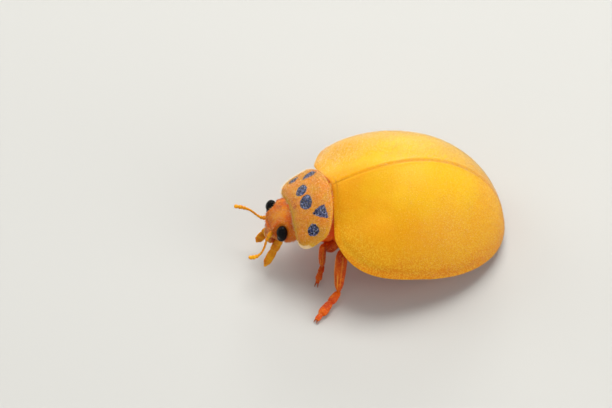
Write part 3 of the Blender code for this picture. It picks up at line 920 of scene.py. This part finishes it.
legs = {
    # hip, knee, ankle and toe, left side, from the front of the wing cases on the floor
    "front": [(0.62, 0.26, 1.14), (1.12, -0.30, 1.40), (1.09, -0.31, 0.40), (1.53, -0.58, 0.12)],
    "middle": [(0.55, 1.20, 1.25), (1.50, 0.25, 1.45), (2.18, -0.02, 0.30), (3.02, -0.92, 0.12)],
    "middleBack": [(0.55, 1.20, 1.25), (1.55, 0.60, 1.35), (2.25, 0.72, 0.30), (3.038, 1.00, 0.12)],
    "hind": [(0.75, 2.75, 0.62), (1.75, 2.25, 0.62), (1.75, 3.20, 0.28), (1.85, 4.00, 0.12)],
    "thigh": [0.34, 0.50, 0.52, 0.46, 0.30], "shin": [0.40, 0.46, 0.44, 0.36, 0.19],
    "frontShin": [0.26, 0.28, 0.27, 0.24, 0.17], "frontThigh": [0.40, 0.66, 0.64, 0.36, 0.24],
    "frontSag": 0.15, "frontFoot": 0.7,
    "foot": [(0.0, 0.38, 0.22, 0.29), (0.34, 0.80, 0.22, 0.32), (0.74, 1.0, 0.17, 0.19)],
    "clawWidths": [0.05, 0.045, 0.03, 0.008], "toothWidths": [0.035, 0.03, 0.008],
    # forward, to the side and up from the end of the foot
    "claw": [(0.0, 0.02, 0.0), (0.05, 0.04, 0.02), (0.09, 0.05, -0.02), (0.10, 0.05, -0.07)],
    "tooth": (0.02, 0.0, -0.04),
    # painted highlights along the shin: way round it, width and strength
    "shinHighlights": [(0.65, 0.16, 1.0), (-0.9, 0.12, 0.5), (2.4, 0.2, 0.6)], "shortShinHighlight": (-0.3, 0.11),
}


def onFloor(bm):
    for vert in bm.verts:
        vert.co.z = max(vert.co.z, 0)


def makeLeg(name, joints, side, material, clawMaterial):
    hip, knee, ankle, toe = (Vector((x * side, y, z)) for x, y, z in joints)
    bend = (knee - hip).cross(ankle - knee).normalized()
    out = (ankle - knee).normalized()
    sag = Vector((0, 0, -0.04))
    front = name.startswith("front")
    thighSag, footShare = (legs["frontSag"], legs["frontFoot"]) if front else (0, 1)
    parts = [
        limb([hip.lerp(knee, -0.12), hip.lerp(knee, 0.4) - Vector((0, 0, thighSag)), knee + out * 0.04],
             legs["frontThigh" if front else "thigh"], 0.72, 24, 40, bend),
        limb([knee - out * 0.05, knee.lerp(ankle, 0.5) + (knee - hip).normalized() * 0.03,
              ankle + out * 0.02], legs["frontShin" if front else "shin"], 0.8, 48, 40, bend),
    ]
    forward = (toe - ankle).normalized()
    length = (toe - ankle).length
    level = Vector((0, 0, 1))
    for start, end, narrow, wide in legs["foot"]:
        narrow, wide = narrow * footShare, wide * footShare
        a, b = ankle + forward * length * start, ankle + forward * length * end
        parts.append(limb([a - forward * 0.04, a.lerp(b, 0.5) + sag * 0.3, b + sag * 0.6],
                          [narrow * 0.8, (narrow + wide) / 2, wide, wide * 0.9], 0.62, 20, 22, level))

    # pale lines round the shin are painted highlights
    def shinHighlights(co, shape):
        around = math.atan2(shape.y, shape.x)
        pale = sum(strength * swell(around, at, wide) for at, wide, strength in legs["shinHighlights"])
        pale += swell(around, *legs["shortShinHighlight"]) * stepUp(shape.z, -0.1, 0.2)
        return 0.9 * min(1.0, pale) * stepUp(0.85 - abs(shape.z), 0, 0.3)

    for part in parts:
        onFloor(part)
    setTone(parts[1], shinHighlights)
    bm = joined(*parts)
    piece = finishPiece(f"leg_{name}", bm, material,
                        [f"femur_{name}", f"tibia_{name}", f"tarsus_{name}"])
    claws = []
    across = forward.cross(level).normalized()
    base = ankle + forward * length * 0.97 + sag * 0.5
    for turn in (1, -1):
        points = [base + forward * ahead + across * wide * turn + level * up
                  for ahead, wide, up in legs["claw"]]
        claws.append(limb(points, legs["clawWidths"], 0.8, 12, 16, level, sharp=2.0))
        ahead, wide, up = legs["tooth"]
        tip = points[1] + forward * ahead + across * wide * turn + level * up
        tooth = [points[1], points[1].lerp(tip, 0.5), tip]
        claws.append(limb(tooth, legs["toothWidths"], 0.9, 8, 8))
    for part in claws:
        onFloor(part)
    finishPiece(f"claws_{name}", joined(*claws), clawMaterial, [f"tarsus_{name}"])
    return piece


legDown = {"count": 420, "length": 0.07, "width": 0.007, "rise": 0.6, "stray": 0.4, "seed": 41,
           "way": (0.3, 0.0, -0.95), "lowest": 0.12}


def coatLegs(pieces, material):
    def offFloor(centre, normal):
        return (centre[:, 2] > legDown["lowest"]).astype(float)

    for index, (name, skin) in enumerate(pieces.items()):
        hair = dict(legDown, seed=legDown["seed"] + index)
        growCoat(f"leg_down_{name}", skin, material, hair, np.array(legDown["way"]), offFloor)


caseMaterial = makeMaterial("waxyShell", caseLook, caseColour)
shieldMaterial = makeMaterial("spottedShield", shieldLook, shieldColour)
hornMaterials = {name: makeHornMaterial(name) for name in hornLooks}
eyeMaterial = makeMaterial("eyeGloss", eyeLook, eyeColour)
# the right case's down is whiter to the tip: painted sheen of backlit hair
caseHair = [makeHairMaterial("caseDownLeft", caseColour, (0.0, 0.75)),
            makeHairMaterial("caseDownRightSheen", caseColour, (0.2, 1.0))]
shieldHair = makeHairMaterial("shieldDown", shieldColour, (0.0, 0.75))
print("materials made")

wingCases = makeWingCases(caseMaterial)
makeScutellum(caseMaterial)
print("wing cases made")
shieldPiece = makeShield(shieldMaterial)
print("shield made")
makeTrunk(hornMaterials["bellyHorn"])
headPiece = makeHeadShell(hornMaterials["headHorn"])
makeEyes(eyeMaterial)
makeMouth(hornMaterials["mouthHorn"], hornMaterials["legHorn"])
makePalps(hornMaterials["feelerHorn"])
makeFeelers(hornMaterials["feelerHorn"])
print("head made")
legPieces = {}
for sideName, sideSign in (("left", 1), ("right", -1)):
    for legName in ("front", "middle", "hind"):
        way = "middleBack" if legName == "middle" and sideSign < 0 else legName
        fullName = f"{legName}_{sideName}"
        legPieces[fullName] = makeLeg(fullName, legs[way], sideSign, hornMaterials["legHorn"],
                                      hornMaterials["clawHorn"])
print("legs made")
coatWingCases(wingCases, caseHair)
coatShield(shieldPiece, shieldHair)
coatHead(headPiece, makeHairMaterial("headDown", hornColour("headHorn"), (0.1, 0.65)))
coatLegs(legPieces, makeHairMaterial("legDown", hornColour("legHorn"), (0.1, 0.6)))
print("coat made")


studio = {
    "floor": 600, "floorColour": (0.54, 0.54, 0.52),
    "background": (0.86, 0.88, 0.90), "backgroundLight": 0.32,
    # place in millimetres from the beetle, size in millimetres, power in watts, colour
    "lamps": [
        ((-45, 25, 120), 80, 0.150, (1.0, 0.98, 0.94)),
        ((80, -80, 50), 100, 0.018, (1.0, 0.98, 0.94)),
        ((70, 90, 50), 90, 0.075, (1.0, 0.97, 0.93)),
        ((-80, -95, 75), 90, 0.052, (1.0, 0.98, 0.94)),
        ((-115, 35, 40), 60, 0.055, (1.0, 0.99, 0.97)),
    ],
}
view = {
    # its way across and up, what it is centred on, the width it sees in millimetres, distance
    "across": (0.2088, 0.9780, 0.0), "up": (-0.7387, 0.1577, 0.6554), "width": 19.411, "distance": 240,
    "centreAcross": -0.5958, "centreUp": 0.1597, "sensor": 36,
}


def makeFloor():
    bm = bmesh.new()
    bmesh.ops.create_grid(bm, x_segments=4, y_segments=4, size=studio["floor"] * mm / 2)
    mesh = bpy.data.meshes.new("floor")
    bm.to_mesh(mesh)
    bm.free()
    floor = bpy.data.objects.new("floor", mesh)
    bpy.context.collection.objects.link(floor)
    material, tree, inputs = newMaterial("paleFloor", 0.7)
    inputs["Base Color"].default_value = (*studio["floorColour"], 1)
    mesh.materials.append(material)


def makeLight():
    world = bpy.data.worlds.new("studio")
    world.use_nodes = True
    background = world.node_tree.nodes["Background"]
    background.inputs["Color"].default_value = (*studio["background"], 1)
    background.inputs["Strength"].default_value = studio["backgroundLight"]
    bpy.context.scene.world = world
    for index, (place, size, power, colour) in enumerate(studio["lamps"]):
        light = bpy.data.lights.new(f"softbox_{index}", "AREA")
        light.size = size * mm
        light.energy = power
        light.color = colour
        lamp = bpy.data.objects.new(light.name, light)
        lamp.location = Vector(place) * mm
        lamp.rotation_euler = (-Vector(place)).to_track_quat("-Z", "Y").to_euler()
        bpy.context.collection.objects.link(lamp)


def makeCamera():
    across, up = Vector(view["across"]).normalized(), Vector(view["up"]).normalized()
    back = across.cross(up)
    anchor = Vector((0, stance["back"], stance["height"]))
    centre = anchor + across * view["centreAcross"] + up * view["centreUp"]
    data = bpy.data.cameras.new("camera")
    data.sensor_width = view["sensor"]
    data.lens = view["sensor"] * view["distance"] / view["width"]
    data.clip_start, data.clip_end = 10 * mm, 2000 * mm
    camera = bpy.data.objects.new("camera", data)
    turn = Matrix((across, up, back)).transposed().to_4x4()
    camera.matrix_world = Matrix.Translation((centre + back * view["distance"]) * mm) @ turn
    bpy.context.collection.objects.link(camera)
    bpy.context.scene.camera = camera


makeFloor()
makeLight()
makeCamera()
bpy.context.scene.view_settings.view_transform = "Standard"
print("stage made")
